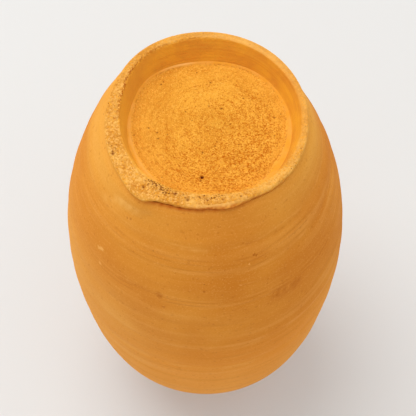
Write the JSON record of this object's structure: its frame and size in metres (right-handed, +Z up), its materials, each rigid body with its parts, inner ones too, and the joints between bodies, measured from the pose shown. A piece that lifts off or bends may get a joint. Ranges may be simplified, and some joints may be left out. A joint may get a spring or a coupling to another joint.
{
  "type": "bud vase",
  "caption": "Small thrown terracotta bud vase: egg-shaped belly, narrow flared neck for a stem, glazed inside, standing on a foot ring with an off-centre recess.",
  "frame": {"origin": "centre of the foot ring's outline on the plane that the vase stands on", "axes": "+Z up along the vase's turning axis, from the foot to the mouth; the foot's recess is off centre towards -X and +Y"},
  "size_m": [0.0762, 0.0762, 0.145],
  "materials": {
    "terracotta": "unglazed orange terracotta, matt, with fine throwing rings",
    "grogged_clay": "unglazed gritty terracotta with dark specks and turning marks",
    "foot_clay": "unglazed terracotta, paler and scuffed where it stands",
    "clay_slip": "smooth fired clay slip, matt",
    "liner_glaze": "thin clear honey glaze, glossy"
  },
  "bodies": {
    "root": {"body_wall": "terracotta", "base_disc": "grogged_clay", "foot_ring": "foot_clay", "foot_slip": "clay_slip", "neck_collar": "terracotta", "neck_slip": "clay_slip", "glaze_lining": "liner_glaze"}
  },
  "joints": []
}
